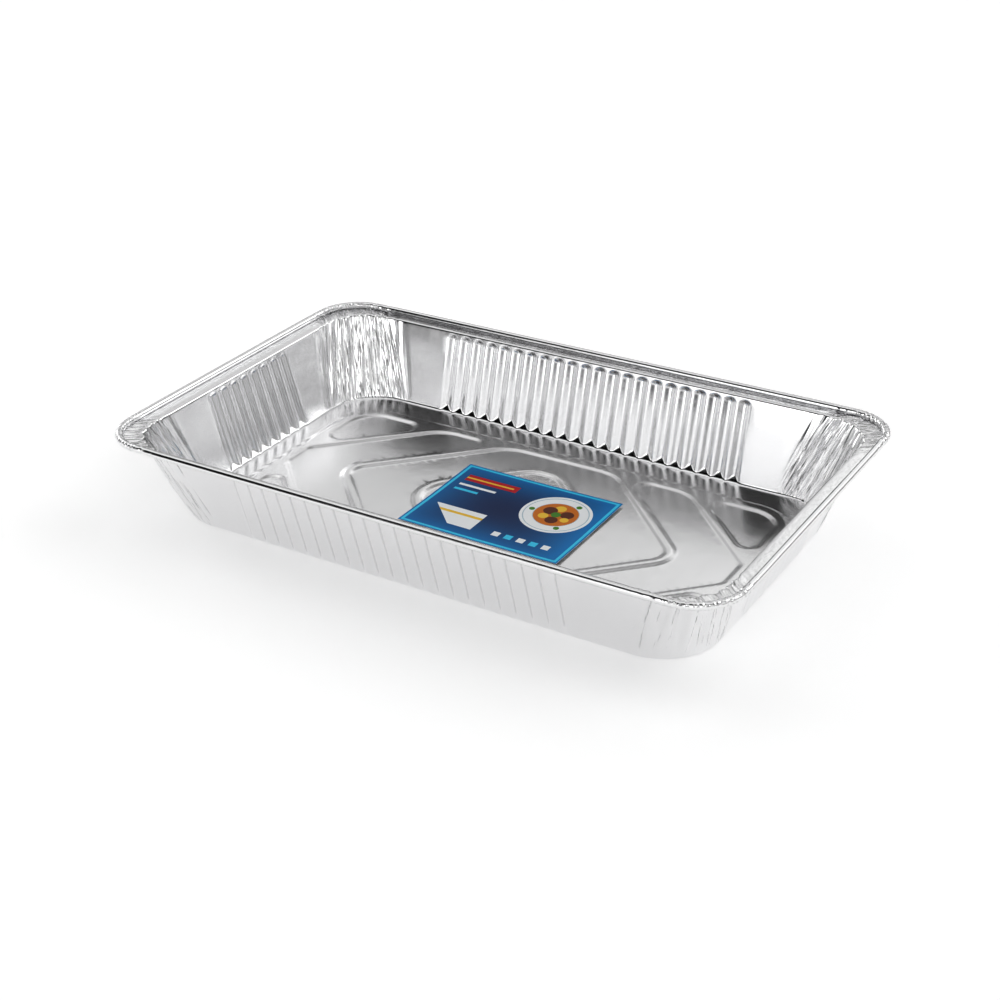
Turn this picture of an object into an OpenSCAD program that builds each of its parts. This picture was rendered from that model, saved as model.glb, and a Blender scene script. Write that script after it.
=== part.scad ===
// A roasting pan pressed from one sheet of aluminium foil, with a loose card on its floor.
// Its stiffness is all in its folds: fluted walls, gathered corners, a rolled rim
// and low ribs pressed up into the floor.
// The origin is at the middle of the base, with X along the pan and Z up.

/* [Rim] */
// Length over the rolled edge
rim_l = 530; // [460:1:620]
// Width over the rolled edge
rim_w = 330; // [290:1:400]
// Height from the base to the top of the rolled edge
pan_h = 74; // [55:1:100]
// Corner radius over the rolled edge, seen from above
rim_r = 40; // [30:1:60]
// Diameter of the rolled edge
bead_d = 5.8; // [4:0.1:8]
// How far round the rolled edge goes, in degrees
bead_turn = 315; // [240:5:340]
// Width of the flange along each short end
flange_end = 11.4; // [7:0.1:18]
// Width of the flange along each long side
flange_side = 7.8; // [5:0.1:16]

/* [Wall] */
// Thickness of the foil
foil_t = 0.12; // [0.08:0.01:0.3]
// How far the wall leans out between the base and the flange
wall_lean = 19.1; // [10:0.1:30]
// Corner radius of the opening, at the flange
opening_r = 38; // [30:1:60]
// Corner radius of the base
base_r = 45; // [30:1:60]

/* [Flutes] */
// Distance from one flute to the next
flute_pitch = 13.1; // [10:0.1:14]
// Flat strip left between two flutes
flute_gap = 1.6; // [0.8:0.1:4]
// How far a flute is pressed out of the wall
flute_depth = 2; // [1:0.1:3.5]
// Flutes along each long side
side_flutes = 22; // [10:1:24]
// Flutes along each short end
end_flutes = 8; // [4:1:10]
// Height over which a flute closes at its foot
flute_foot = 5; // [2:0.1:10]
// Height over which a flute closes at its head
flute_head = 6; // [2:0.1:12]

/* [Gathered corners] */
// Folds in each corner
corner_folds = 10; // [4:1:14]
// Depth of a fold in the corner of the wall
fold_depth = 1.6; // [0.4:0.1:2.5]
// Height of a fold in the corner of the flange
fold_rise = 0.7; // [0.2:0.1:1.5]
// Depth of the pinches in the rolled edge at the corners
bead_pinch = 0.5; // [0.1:0.1:1]

/* [Floor ribs] */
// Height of the ribs pressed up into the floor
rib_h = 1.4; // [0.6:0.1:3]
// Width of each sloping side of a rib
rib_slope = 5.5; // [3:0.1:8]
// Width of the flat top of a rib
rib_top = 1.8; // [0.8:0.1:4]
// Width of the flat top of the rib that frames the floor
frame_top = 4.8; // [2:0.1:8]
// Floor between the foot of an end wall and the frame rib
gutter_end = 17; // [10:0.5:30]
// Floor between the foot of a side wall and the frame rib
gutter_side = 22; // [12:0.5:34]
// Corner radius of the frame rib, at its foot
frame_r = 38; // [30:1:50]
// How much the outer slanting rib cuts off each corner of the field, along either edge
corner_cut = 71; // [50:1:90]
// Distance between the two slanting ribs, along either edge
rib_pitch = 66.5; // [50:0.5:80]
// Half the diagonal of the middle rib's diamond, before its tips are rounded
diamond = 86; // [50:1:90]
// Radius of the diamond's tips, along the top of the rib
diamond_r = 30; // [14:1:34]
// Radius of the inner rib's nose, along its top
nose_r = 18; // [12:1:26]
// Radius at the wide corners of the pressed fields
wide_r = 34; // [15:1:40]
// Radius at the sharp corners of the pressed fields
sharp_r = 7; // [3:0.5:10]

/* [Card] */
// Length of the loose card
card_l = 142; // [80:1:200]
// Width of the loose card
card_w = 107; // [60:1:140]
// Thickness of the card
card_t = 0.3; // [0.2:0.05:1]
// Corner radius of the card
card_r = 1; // [0.2:0.1:6]
// Clearance between the card and the ribs that it lies on
card_clear = 0.05; // [0.02:0.01:0.3]
// How far the card lies from the middle of the pan, along it
card_x = 9; // [-30:1:30]
// How far the card lies from the middle of the pan, across it
card_y = 0; // [-15:1:15]

/* [Hidden] */

// Steps across a flute, and round the rolled edge
flute_steps = 4;
curl_steps = 7;
// Sides of a full circle in the floor's rounded corners
round_steps = 32;
// Small extra length by which a cut runs past the face that it cuts
past = 0.1;

bead_r = bead_d / 2;
flange_z = pan_h - bead_d + foil_t;
bead_z = pan_h - bead_r;
// The wall leans, so the foil is a little thicker when measured level
wall_t = foil_t / cos(atan(wall_lean / flange_z));

// An outline is half its length, half its width and its corner radius
opening = [rim_l / 2 - bead_d - flange_end, rim_w / 2 - bead_d - flange_side, opening_r];
base = [opening.x - wall_lean, opening.y - wall_lean, base_r];
bead_axis = [rim_l / 2 - bead_r, rim_w / 2 - bead_r, rim_r - bead_r];
function level(z) = base + (opening - base) * z / flange_z;

// The pan is drawn as rings of stations, counted from the +X end towards +Y.
// A ring along a flute's length has all the stations, a ring at the flutes' ends only
// the corners of the flutes, and a ring of the rim only the stations of the four corners.
ALL = 0;
ENDS = 1;
RIM = 2;
corner_n = 2 * corner_folds + 1;
function flutes(side) = side % 2 == 0 ? end_flutes : side_flutes;
function ends_before(side) =
    side * corner_n + 2 * (ceil(side / 2) * end_flutes + floor(side / 2) * side_flutes);

// A station is the angle of its normal, the angle of its corner, its place along a side,
// its share of flute and of fold, and the stations next to it in the two lighter rings
function side_stations(side) =
    let (n = flutes(side), width = flute_pitch - flute_gap)
    [for (i = [0 : n - 1], j = [0 : flute_steps])
        [90 * side, undef, (i - n / 2) * flute_pitch + (flute_gap / 2 + width * j / flute_steps),
         sin(180 * j / flute_steps), 0,
         ends_before(side) + 2 * i + (2 * j > flute_steps ? 1 : 0),
         (side * corner_n + (2 * i < n ? -1 : 0) + 4 * corner_n) % (4 * corner_n)]];

// Every other station of a corner is pulled in, and no two by quite the same amount
function fold_share(i) = i % 2 == 0 ? 0 : -0.72 - 0.28 * sin(137 * i);

function corner_stations(corner) =
    [for (i = [0 : corner_n - 1])
        [90 * corner + 45 * i / corner_folds, 90 * corner + 45, undef,
         0, fold_share(i + 2 * corner), ends_before(corner) + 2 * flutes(corner) + i,
         corner * corner_n + i]];

stations = [for (k = [0 : 3]) each concat(side_stations(k), corner_stations(k))];
kinds = [stations, [for (s = stations) if (s[3] < 0.01) s],
         [for (s = stations) if (is_undef(s[2])) s]];

// The place of a station on an outline, moved out along its normal
function place(station, outline, out) =
    let (angle = station[0], corner = station[1], along = station[2])
    is_undef(corner)
        ? [cos(angle) * ((angle % 180 == 0 ? outline.x : outline.y) + out) - sin(angle) * along,
           sin(angle) * ((angle % 180 == 0 ? outline.x : outline.y) + out) + cos(angle) * along]
        : [sign(cos(corner)) * (outline.x - outline.z) + cos(angle) * (outline.z + out),
           sign(sin(corner)) * (outline.y - outline.z) + sin(angle) * (outline.z + out)];

// A ring is its kind, its outline and height, how far out its flutes stand,
// how far in its folds are pulled, and how far they rise
function wall_ring(kind, z, flute, fold, inset) =
    [kind, level(z) - inset * [1, 1, 1], z, flute * flute_depth, fold * fold_depth, 0];

function flange_ring(z) =
    [RIM, (opening + bead_axis) / 2, z, 0, 0, fold_rise];

function curl_ring(step, radius) =
    let (angle = -90 + bead_turn * step / curl_steps)
    [RIM, bead_axis + radius * cos(angle) * [1, 1, 1], bead_z + radius * sin(angle),
     0, max(0, cos(angle)) * bead_pinch, 0];

// Up the outside, out under the flange, round the rolled edge, and back down the inside
rings = concat(
    [wall_ring(ENDS, 0, 0, 0, 0), wall_ring(ALL, flute_foot, 1, 0.3, 0),
     wall_ring(ALL, flange_z - flute_head, 1, 1, 0), wall_ring(ENDS, flange_z - foil_t, 0, 1, 0),
     flange_ring(flange_z - foil_t)],
    [for (i = [0 : curl_steps]) curl_ring(i, bead_r)],
    [for (i = [curl_steps : -1 : 0]) curl_ring(i, bead_r - foil_t)],
    [flange_ring(flange_z), wall_ring(ENDS, flange_z, 0, 1, wall_t),
     wall_ring(ALL, flange_z - flute_head, 1, 1, wall_t),
     wall_ring(ALL, flute_foot, 1, 0.3, wall_t), wall_ring(ENDS, foil_t, 0, 0, wall_t)]);

function ring_start(k) = k == 0 ? 0 : ring_start(k - 1) + len(kinds[rings[k - 1][0]]);
starts = [for (k = [0 : len(rings)]) ring_start(k)];

// The triangles between a ring and a lighter one, or between two of a kind
function strip(full, light, flip) =
    let (kind = rings[full][0], other = rings[light][0], list = kinds[kind], n = len(list))
    [for (i = [0 : n - 1])
        let (j = (i + 1) % n, a = starts[full] + i, b = starts[full] + j,
             c = starts[light] + (kind == other ? i : list[i][4 + other]),
             d = starts[light] + (kind == other ? j : list[j][4 + other]))
        each concat([flip ? [a, b, d] : [a, d, b]],
            c == d ? [] : [flip ? [a, d, c] : [a, c, d]])];

// On the way back the triangles are those of the way out, so the two skins never cross
function band(k) =
    let (change = rings[k + 1][0] - rings[k][0], back = 2 * k > len(rings) - 2)
    change > 0 || (change == 0 && !back) ? strip(k, k + 1, false) : strip(k + 1, k, true);

// The whole sheet, with its floor still flat
module sheet() {
    last = len(rings) - 1;
    points = [for (ring = rings, station = kinds[ring[0]])
        concat(place(station, ring[1], station[3] * ring[3] + station[4] * ring[4]),
            ring[2] - station[4] * ring[5])];
    underside = [for (i = [0 : starts[1] - 1]) i];
    floor_face = [for (i = [starts[last + 1] - 1 : -1 : starts[last]]) i];
    polyhedron(points, concat([for (k = [0 : last - 1]) each band(k)], [underside, floor_face]),
        convexity = 10);
}

// The centre of a circle that rounds a convex outline's corner
function fillet_centre(before, corner, after, radius) =
    let (a = (before - corner) / norm(before - corner),
         b = (after - corner) / norm(after - corner),
         half = acos(a * b) / 2)
    corner + (a + b) / norm(a + b) * radius / sin(half);

// A round cone from the floor to the top of the ribs, run on a little at both ends.
// A positive slope opens upwards, as a pressed field does, and a negative one stands up.
module bevel(centre, radius, slope) {
    run = slope * past / rib_h;
    translate([centre.x, centre.y, -past])
        cylinder(h = rib_h + 2 * past, r1 = radius - run, r2 = radius + slope + run,
            $fn = round_steps);
}

// A convex field with bevelled sides. Each corner is its place and its radius at the floor.
module field(corners, slope = rib_slope) {
    n = len(corners);
    hull()
        for (i = [0 : n - 1])
            let (before = corners[(i + n - 1) % n], corner = corners[i],
                 after = corners[(i + 1) % n])
            bevel(fillet_centre([before.x, before.y], [corner.x, corner.y],
                [after.x, after.y], corner.z), corner.z, slope);
}

// The raised rib that has this field's outline is the same field, stood on its head
module mesa(corners) {
    intersection() {
        field(corners, -rib_slope);
        translate([-rim_l, -rim_w, -past])
            cube([2 * rim_l, 2 * rim_w, rib_h + past]);
    }
}

// Half the rib's width at the floor, measured along an edge at 45 degrees to it
rib_reach = (rib_top / 2 + rib_slope) * sqrt(2);
rib_foot = rib_top / 2 + rib_slope;
frame = [base.x - gutter_end, base.y - gutter_side];
field_x = frame.x - 2 * rib_slope - frame_top;
field_y = frame.y - 2 * rib_slope - frame_top;
outer_rib = field_x + field_y - corner_cut;
inner_rib = outer_rib - rib_pitch;
outer_edge = outer_rib - rib_reach;
inner_edge = inner_rib + rib_reach;
// The slanting field ends at the frame, or a little short of its own point
field_end = min(field_x, outer_edge - 2 * sharp_r);

function mirrored(corners) = [for (c = corners) [c.x, -c.y, c.z]];

// A diamond, or a hexagon where the field's edge cuts it off
module middle_field() {
    edge = inner_rib - rib_reach;
    tip_r = nose_r - rib_foot;
    x = edge - field_y;
    field([[edge, 0, tip_r], [x, field_y, wide_r], [-x, field_y, wide_r],
           [-edge, 0, tip_r], [-x, -field_y, wide_r], [x, -field_y, wide_r]]);
}

// One arm of the arrow-shaped field between two slanting ribs
arm = [[inner_edge - field_y, field_y, sharp_r],
       [(inner_edge + outer_edge) / 2, (inner_edge - outer_edge) / 2, 0.5],
       [field_end, field_end - outer_edge, sharp_r],
       [field_end, outer_edge - field_end, sharp_r],
       [outer_edge - field_y, field_y, wide_r]];

// The row of small dishes that rounds the nose of the inner rib
module nose_dish(angle) {
    reach = nose_r + rib_foot + sharp_r;
    centre = inner_edge - (nose_r + rib_foot) * sqrt(2);
    bevel([centre + reach * cos(angle), reach * sin(angle)], sharp_r, rib_slope);
}

module arrow_field() {
    field(arm);
    field(mirrored(arm));
    nose_step = 15;
    for (a = [-45 : nose_step : 45 - nose_step])
        hull() {
            nose_dish(a);
            nose_dish(a + nose_step);
        }
}

module corner_field() {
    edge = outer_rib + rib_reach;
    field([[edge - field_y, field_y, sharp_r], [field_x, edge - field_x, sharp_r],
           [field_x, field_y, frame_r - 2 * rib_slope - frame_top]]);
}

// All the ribs of the floor as one solid: a raised plate, less the fields pressed back down
module floor_ribs() {
    difference() {
        mesa([[frame.x, frame.y, frame_r], [-frame.x, frame.y, frame_r],
              [-frame.x, -frame.y, frame_r], [frame.x, -frame.y, frame_r]]);
        middle_field();
        for (side = [0, 1])
            mirror([side, 0, 0]) {
                arrow_field();
                corner_field();
                mirror([0, 1, 0]) corner_field();
            }
    }
    difference() {
        mesa(diamond_outline(diamond + rib_reach, diamond_r + rib_foot));
        field(diamond_outline(diamond - rib_reach, diamond_r - rib_foot));
    }
}

function diamond_outline(half, radius) =
    [[half, 0, radius], [0, half, radius], [-half, 0, radius], [0, -half, radius]];

module foil_pan() {
    color("gainsboro")
    difference() {
        union() {
            sheet();
            translate([0, 0, foil_t]) floor_ribs();
        }
        floor_ribs();
    }
}

module label_card() {
    color("steelblue")
    translate([card_x, card_y, foil_t + rib_h + card_clear])
        linear_extrude(card_t)
            offset(r = card_r)
                square([card_l - 2 * card_r, card_w - 2 * card_r], center = true);
}

foil_pan();
label_card();
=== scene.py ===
# %% [markdown]
# # A foil roasting pan
# A roasting pan is one sheet of aluminium foil, pressed in a single stroke. The foil is
# thinner than a fingernail, so every bit of stiffness comes from shape: flutes in the walls,
# folds in the corners, a rolled rim and low ribs in the floor.
# A lesson in making it: first the smooth form, then the pressing on top of it, then the metal.
# The frame is the measured model of the pan. What is made here stays inside its box.

# %% Load the frame
import math
import bpy
import numpy as np
from mathutils import Matrix, Vector
from mathutils.geometry import delaunay_2d_cdt


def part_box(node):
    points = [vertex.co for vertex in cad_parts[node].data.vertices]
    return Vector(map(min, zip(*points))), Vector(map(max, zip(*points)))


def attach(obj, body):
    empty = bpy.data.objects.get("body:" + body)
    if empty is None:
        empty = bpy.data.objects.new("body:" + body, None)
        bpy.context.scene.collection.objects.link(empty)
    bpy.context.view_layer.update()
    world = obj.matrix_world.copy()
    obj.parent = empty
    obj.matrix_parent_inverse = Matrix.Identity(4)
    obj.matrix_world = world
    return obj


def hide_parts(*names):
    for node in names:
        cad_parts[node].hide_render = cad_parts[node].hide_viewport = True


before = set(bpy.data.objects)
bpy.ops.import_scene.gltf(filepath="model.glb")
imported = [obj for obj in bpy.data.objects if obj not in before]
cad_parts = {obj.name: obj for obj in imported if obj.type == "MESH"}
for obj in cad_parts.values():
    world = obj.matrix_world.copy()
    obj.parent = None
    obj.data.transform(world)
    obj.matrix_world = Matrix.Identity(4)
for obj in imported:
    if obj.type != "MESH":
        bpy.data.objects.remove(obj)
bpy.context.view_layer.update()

# %% [markdown]
# ## The sizes of the pan
# A press tool is drawn in section first. Everything hangs on three outlines, each a rectangle
# with round corners: the foot of the wall, the opening where the wall meets the flange, and
# the axis of the rolled edge. An outline is half its length, half its width and its radius.

# %% Sizes in metres
mm = 0.001
FOIL = 0.12 * mm
FLANGE_Z = 68.32 * mm
BEAD_R = 2.9 * mm
BEAD_Z = 74 * mm - BEAD_R
FOOT = np.array([228.7, 132.3, 45.0]) * mm
OPENING = np.array([247.8, 151.4, 38.0]) * mm
BEAD_AXIS = np.array([262.1, 162.1, 37.1]) * mm
FLUTE_PITCH = 13.1 * mm
SIDE_FLUTES = 22
END_FLUTES = 8

LEAN = math.atan((OPENING[0] - FOOT[0]) / FLANGE_Z)
print("the wall leans", round(math.degrees(LEAN), 1), "degrees")

# %% [markdown]
# ## Camera
# The pan is seen from above its near right corner. A long lens keeps the far edge large.
# The camera's own axes are written as a matrix, so that it can be tilted a little about its
# line of sight.

# %% Camera
elevation, azimuth, roll = (math.radians(a) for a in (28.292, -31.811, -1.184))
look = Vector((math.sin(azimuth) * math.cos(elevation),
               math.cos(azimuth) * math.cos(elevation), -math.sin(elevation)))
level_right = look.cross(Vector((0, 0, 1))).normalized()
level_up = level_right.cross(look)
right = level_right * math.cos(roll) + level_up * math.sin(roll)
up = level_up * math.cos(roll) - level_right * math.sin(roll)

camera_data = bpy.data.cameras.new("camera")
camera_data.sensor_width = 36
camera_data.lens = 63.41
camera_data.clip_start = 0.05
camera = bpy.data.objects.new("camera", camera_data)
bpy.context.scene.collection.objects.link(camera)
turned = Matrix((right, up, -look)).transposed().to_4x4()
camera.matrix_world = Matrix.Translation((0.6404, -1.0339, 0.6647)) @ turned
bpy.context.scene.camera = camera
print("camera at", [round(v, 3) for v in camera.matrix_world.translation])

# %% [markdown]
# ## Stations round the pan
# The walls are a net of points: stations round the pan, and rows up the section. The stations
# are close together on a flute, where the shape bends quickly, and in the corners, where the
# foil is gathered. Each station has a normal, and either a place along its side or an angle
# round its corner. Between the last flute and the corner a station is placed by its share of
# the plain stretch, because the corner starts further out at the top than at the foot.

# %% Stations
STEPS_A_FLUTE = 18
CORNER_STATIONS = 108
# Shares of the plain stretch, close together near the corner
PLAIN = [0.1, 0.22, 0.34, 0.46] + [0.56 + 0.44 * i / 18 for i in range(1, 19)]


def side_of_stations(quarter, flutes):
    """Stations of one side: the angle of the normal, a fixed place, and a share of the plain stretch."""
    reach = flutes * FLUTE_PITCH / 2
    rows = []
    for share in reversed(PLAIN):
        rows.append((90 * quarter, -reach, -share, 0, reach))
    for i in range(flutes * STEPS_A_FLUTE + 1):
        rows.append((90 * quarter, -reach + i * FLUTE_PITCH / STEPS_A_FLUTE, 0, 0, reach))
    for share in PLAIN:
        rows.append((90 * quarter, reach, share, 0, reach))
    for i in range(1, CORNER_STATIONS):
        rows.append((90 * (quarter + i / CORNER_STATIONS), reach, 1, i / CORNER_STATIONS, reach))
    return rows


station_rows = []
for quarter in range(4):
    station_rows += side_of_stations(quarter, END_FLUTES if quarter % 2 == 0 else SIDE_FLUTES)
stations = np.array(station_rows)
angle = np.radians(stations[:, 0])
normal = np.stack([np.cos(angle), np.sin(angle)], 1)
in_corner = stations[:, 3] > 0
quarter_of = np.floor((stations[:, 0] + 1e-6) / 90).astype(int)
print(len(stations), "stations round the pan")


def station_points(outline):
    """The stations' places on an outline, and how far each lies along its side."""
    hx, hy, r = outline
    half = np.where(quarter_of % 2 == 0, hx, hy)
    centre = np.where(quarter_of % 2 == 0, hy, hx) - r
    reach = stations[:, 4]
    along = stations[:, 1] + stations[:, 2] * (centre - reach)
    side_angle = quarter_of * math.pi / 2
    side_normal = np.stack([np.cos(side_angle), np.sin(side_angle)], 1)
    side_along = np.stack([-np.sin(side_angle), np.cos(side_angle)], 1)
    on_side = side_normal * (half - r)[:, None] + side_along * along[:, None]
    return on_side + normal * r, np.where(in_corner, 1, along)


# %% [markdown]
# The corners have more foil than they need, so it gathers there in upright folds, which fade
# out along the sides. A fold keeps its station from the foot to the rim. Each station
# therefore also gets its place in the corner's row of folds, and its share of gathering.

# %% Where the foil gathers
CORNER_ARC = 64 * mm
FADE = 24 * mm
# Half the straight length of an end and of a side, half-way up the wall
END_STRAIGHT = 100 * mm
SIDE_STRAIGHT = 197 * mm
# How far apart, in metres, the corners take their folds from the scatter
CORNER_STEP = 0.7


def eased(t):
    """A climb from 0 to 1 with a soft start and end, and an even slope between."""
    t = np.clip(t, 0, 1)
    return t * t * (3 - 2 * t)


def gathering():
    """Each station's place in its corner's row of folds, and its share of gathering."""
    plain = np.where(quarter_of % 2 == 0, END_STRAIGHT, SIDE_STRAIGHT) - stations[:, 4]
    share = stations[:, 2]
    away = np.where(in_corner, 0, (1 - np.abs(share)) * plain)
    place = np.where(in_corner, stations[:, 3] * CORNER_ARC,
                     np.where(share < 0, CORNER_ARC + away, -away))
    # A corner's folds run on from the side before it to the side after it
    corner = np.where((share < 0) & ~in_corner, (quarter_of + 3) % 4, quarter_of)
    return place + corner * CORNER_STEP, eased(1 - away / FADE) ** 2


fold_place, fold_weight = gathering()
print("gathered stations:", int((fold_weight > 0).sum()))

# %% [markdown]
# ## The section
# Seen in section, the foil runs from the floor round a small bend, up the leaning wall, round
# a second bend onto the flange, and out into the rolled edge. A row of the net is an outline
# and a height. The bends are true arcs, tangent to what they join.

# %% Rows of the section
FOOT_BEND = 2.4 * mm
LIP_BEND = 1.9 * mm
BEND_STEPS = 5
# The wall's rows lie close together where the flutes close, near the foot and near the flange
UP_THE_WALL = [0.015, 0.03, 0.045, 0.06, 0.075, 0.1, 0.15, 0.22, 0.3, 0.38, 0.46, 0.54, 0.62, 0.7,
               0.78, 0.85, 0.89, 0.905, 0.92, 0.935, 0.95, 0.965, 0.98]
ACROSS = [0.18, 0.32, 0.46, 0.6, 0.74, 0.88]
BEAD_STEPS = 11
# Where the rolled foil ends, in degrees round the axis of the roll
BEAD_END = 252


def bend(corner_out, corner_z, start, turn, radius):
    """Points of an arc of the section that rounds a corner. Angles are headings, in radians."""
    tangent = radius * math.tan(abs(turn) / 2)
    x = corner_out - tangent * math.cos(start)
    z = corner_z - tangent * math.sin(start)
    side = math.copysign(1, turn)
    points = []
    for i in range(BEND_STEPS + 1):
        heading = start + turn * i / BEND_STEPS
        points.append((x + radius * side * (math.sin(heading) - math.sin(start)),
                       z - radius * side * (math.cos(heading) - math.cos(start))))
    return points


def wall_rows(inset, floor_z, flange_z, foot_r, lip_r):
    """(outline, height) rows from the floor's edge to the start of the flange."""
    climb = math.pi / 2 - LEAN
    lean = math.tan(LEAN)

    def at(out, z):
        return (FOOT + (OPENING - FOOT) * (z / FLANGE_Z) + (out - z * lean) * np.ones(3), z)

    foot = bend(floor_z * lean - inset, floor_z, 0, climb, foot_r)
    lip = bend(flange_z * lean - inset, flange_z, climb, -climb, lip_r)
    low, high = foot[-1], lip[0]
    middle = [(low[0] + (high[0] - low[0]) * s, low[1] + (high[1] - low[1]) * s)
              for s in UP_THE_WALL]
    return [at(*p) for p in foot + middle + lip]


def flange_rows(level, shares):
    return [(OPENING + (BEAD_AXIS - OPENING) * s, level) for s in shares]


def bead_rows():
    """Rows of the rolled edge, from under its axis round the outside and over the top."""
    rows = []
    for i in range(BEAD_STEPS + 1):
        a = math.radians(-90 + (BEAD_END + 90) * i / BEAD_STEPS)
        rows.append((BEAD_AXIS + BEAD_R * math.cos(a) * np.ones(3), BEAD_Z + BEAD_R * math.sin(a)))
    return rows


def with_rim(rows, share):
    """The rows, each with its share of the rim: 0 up the wall, 1 from the rolled edge on."""
    return [(outline, z, s) for (outline, z), s in zip(rows, share)]


wall_t = FOIL / math.cos(LEAN)
inner_rows = (wall_rows(wall_t, FOIL, FLANGE_Z, FOOT_BEND, LIP_BEND)
              + flange_rows(FLANGE_Z, ACROSS + [1.0]))
outer_rows = (wall_rows(0, 0, FLANGE_Z - FOIL, FOOT_BEND + FOIL, LIP_BEND - FOIL)
              + flange_rows(FLANGE_Z - FOIL, ACROSS)
              + bead_rows())
walls = len(inner_rows) - len(ACROSS) - 1
inner_rows = with_rim(inner_rows, [0] * walls + ACROSS + [1])
outer_rows = with_rim(outer_rows, [0] * walls + ACROSS + [1] * (BEAD_STEPS + 1))
print(len(inner_rows), "rows inside,", len(outer_rows), "rows outside")

# %% [markdown]
# ## The floor's ribs
# The floor is pressed up into a net of low ribs: a frame along the walls, a long hexagon, two
# slanting ribs across each end and a diamond in the middle. It is easier to draw the fields
# that stay low than the ribs between them. Each field is an outline with round corners. A
# point's height then follows from its distance to the nearest field: nothing inside it, and
# the rib's full height once the slope has been climbed.

# %% Outlines of the low fields
RIB_H = 1.4 * mm
RIB_SLOPE = 5.5 * mm
# From a rib's middle line to its foot: half its flat top, and one slope
RIB_HALF = 0.9 * mm + RIB_SLOPE
# The same for a rib at 45 degrees, measured along X
RIB_REACH = RIB_HALF * math.sqrt(2)
# The outer foot of the frame rib: half its length, half its width and its radius
FRAME = np.array([211.7, 110.3, 38.0]) * mm
FRAME_RIB = 15.8 * mm
FIELD_X, FIELD_Y = FRAME[0] - FRAME_RIB, FRAME[1] - FRAME_RIB
# A slanting rib runs where x and y add up to its number
OUTER_RIB = FIELD_X + FIELD_Y - 71 * mm
INNER_RIB = OUTER_RIB - 66.5 * mm
DIAMOND = 86 * mm
# Radii: a rib's bend on the long axis, the diamond's bends, and the fields' corners
POINT_R = 18 * mm
DIAMOND_R = 30 * mm
SHARP, WIDE = 7 * mm, 34 * mm


def rounded(corners):
    """A closed outline as points, with each corner (x, y, radius) rounded by a tangent arc."""
    points = []
    n = len(corners)
    for i in range(n):
        here, radius = np.array(corners[i][:2]), corners[i][2]
        a = np.array(corners[i - 1][:2]) - here
        b = np.array(corners[(i + 1) % n][:2]) - here
        a, b = a / np.linalg.norm(a), b / np.linalg.norm(b)
        half = math.acos(np.clip(a @ b, -1, 1)) / 2
        centre = here + (a + b) / np.linalg.norm(a + b) * radius / math.sin(half)
        first = here + a * radius / math.tan(half) - centre
        last = here + b * radius / math.tan(half) - centre
        start = math.atan2(first[1], first[0])
        turn = (math.atan2(last[1], last[0]) - start + math.pi) % (2 * math.pi) - math.pi
        for k in range(11):
            t = start + turn * k / 10
            points.append(centre + radius * np.array([math.cos(t), math.sin(t)]))
    return np.array(points)


def low_fields():
    """The hexagon's field, and at each end the field between two ribs and two corner fields."""
    inner_edge, outer_edge = INNER_RIB + RIB_REACH, OUTER_RIB - RIB_REACH
    edge = INNER_RIB - RIB_REACH
    x = edge - FIELD_Y
    middle = [(edge, 0, POINT_R - RIB_HALF), (x, FIELD_Y, WIDE), (-x, FIELD_Y, WIDE),
              (-edge, 0, POINT_R - RIB_HALF), (-x, -FIELD_Y, WIDE), (x, -FIELD_Y, WIDE)]
    arrow = [(inner_edge - FIELD_Y, FIELD_Y, SHARP), (inner_edge, 0, POINT_R + RIB_HALF),
             (inner_edge - FIELD_Y, -FIELD_Y, SHARP), (outer_edge - FIELD_Y, -FIELD_Y, WIDE),
             (FIELD_X, FIELD_X - outer_edge, SHARP), (FIELD_X, outer_edge - FIELD_X, SHARP),
             (outer_edge - FIELD_Y, FIELD_Y, WIDE)]
    corner_edge = OUTER_RIB + RIB_REACH
    corner = [(corner_edge - FIELD_Y, FIELD_Y, SHARP), (FIELD_X, corner_edge - FIELD_X, SHARP),
              (FIELD_X, FIELD_Y, FRAME[2] - FRAME_RIB)]
    fields = [rounded(middle)]
    for sx in (1, -1):
        fields.append(rounded(arrow) * [sx, 1])
        for sy in (1, -1):
            fields.append(rounded(corner) * [sx, sy])
    return fields


def diamond(half, radius):
    return rounded([(half, 0, radius), (0, half, radius), (-half, 0, radius), (0, -half, radius)])


def rounded_box(outline):
    hx, hy, r = outline
    return rounded([(hx, hy, r), (-hx, hy, r), (-hx, -hy, r), (hx, -hy, r)])


FRAME_OUTLINE = rounded_box(FRAME)
FIELDS = low_fields()
DIAMOND_OUT = diamond(DIAMOND + RIB_REACH, DIAMOND_R + RIB_HALF)
DIAMOND_IN = diamond(DIAMOND - RIB_REACH, DIAMOND_R - RIB_HALF)
print(len(FIELDS) + 2, "low fields in the floor")

# %% [markdown]
# The distance to an outline is the distance to the nearest of its short straight pieces, and
# a point is inside where a line from it crosses the outline an odd number of times.

# %% Height of the floor
def outside(points, outline):
    """Signed distance from points to a closed outline, positive outside it."""
    a = outline
    b = np.roll(outline, -1, 0)
    keep = np.linalg.norm(b - a, axis=1) > 1e-9
    a, b = a[keep], b[keep]
    best = np.full(len(points), 1e9)
    crossings = np.zeros(len(points), int)
    for p, q in zip(a, b):
        d = q - p
        t = np.clip(((points - p) @ d) / (d @ d), 0, 1)
        best = np.minimum(best, np.linalg.norm(points - p - t[:, None] * d, axis=1))
        if p[1] != q[1]:
            spans = (points[:, 1] >= min(p[1], q[1])) & (points[:, 1] < max(p[1], q[1]))
            x = p[0] + (points[:, 1] - p[1]) * d[0] / d[1]
            crossings += spans & (points[:, 0] < x)
    return np.where(crossings % 2 == 1, -best, best)


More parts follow.
